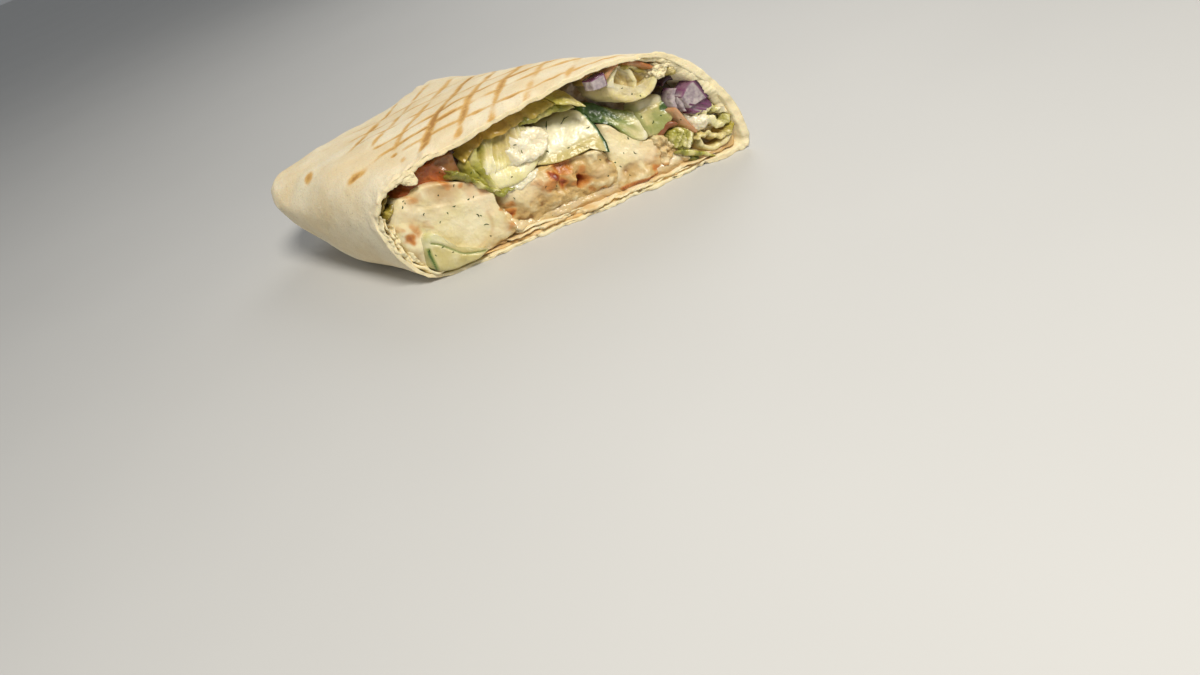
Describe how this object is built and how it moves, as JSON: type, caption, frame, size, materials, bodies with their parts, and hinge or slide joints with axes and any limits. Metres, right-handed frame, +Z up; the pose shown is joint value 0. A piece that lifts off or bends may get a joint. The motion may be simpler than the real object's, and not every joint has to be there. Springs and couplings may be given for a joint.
{
  "type": "halloumi wrap half",
  "caption": "Half of a griddled flour tortilla wrap, cut on the slant, with grilled halloumi, cucumber, lettuce, tomato, red onion, carrot and a creamy dressing showing at the cut.",
  "frame": {"origin": "on the surface the wrap lies on, under the middle of its bounding box", "axes": "+X along the cut, from its blunt end to its thin tip; +Y away from the cut face, towards the closed end; +Z up"},
  "size_m": [0.1502, 0.1096, 0.0412],
  "materials": {
    "tortilla": "soft wheat flatbread, pale cream, lightly floured, with brown griddle lines and small scorched blisters",
    "dressing": "wet cream-coloured yoghurt dressing with specks of green herb",
    "halloumi": "firm moist white cheese, cream with a faint green tint, seared orange-brown at the faces that touched the griddle",
    "cucumber": "wet pale yellow-green flesh with a thin dark green skin",
    "tomato": "wet red-brown roasted tomato with a shiny skin",
    "lettuce": "thin wet leaf, yellow-green, with pale ribs and darker frilled edges",
    "onion": "crisp raw red onion, lilac-white where cut, with deep purple skin",
    "carrot": "moist grated carrot, pale orange"
  },
  "bodies": {
    "root": {"tortilla": "tortilla", "dressing": "dressing", "halloumi_blunt_end": "halloumi", "halloumi_middle": "halloumi", "halloumi_tip_side": "halloumi", "halloumi_end": "halloumi", "cucumber_wedge": "cucumber", "cucumber_front": "cucumber", "cucumber_behind": "cucumber", "cucumber_tip_side": "cucumber", "tomato": "tomato", "lettuce_heart": "lettuce", "lettuce_top_leaf": "lettuce", "lettuce_curled_leaf": "lettuce", "lettuce_dark_leaf": "lettuce", "lettuce_shred": "lettuce", "lettuce_rib": "lettuce", "lettuce_under_rib": "lettuce", "lettuce_tip_curl": "lettuce", "onion_cube": "onion", "onion_chunk": "onion", "onion_layer": "onion", "carrot_1": "carrot", "carrot_2": "carrot", "carrot_3": "carrot", "carrot_4": "carrot"}
  },
  "joints": []
}
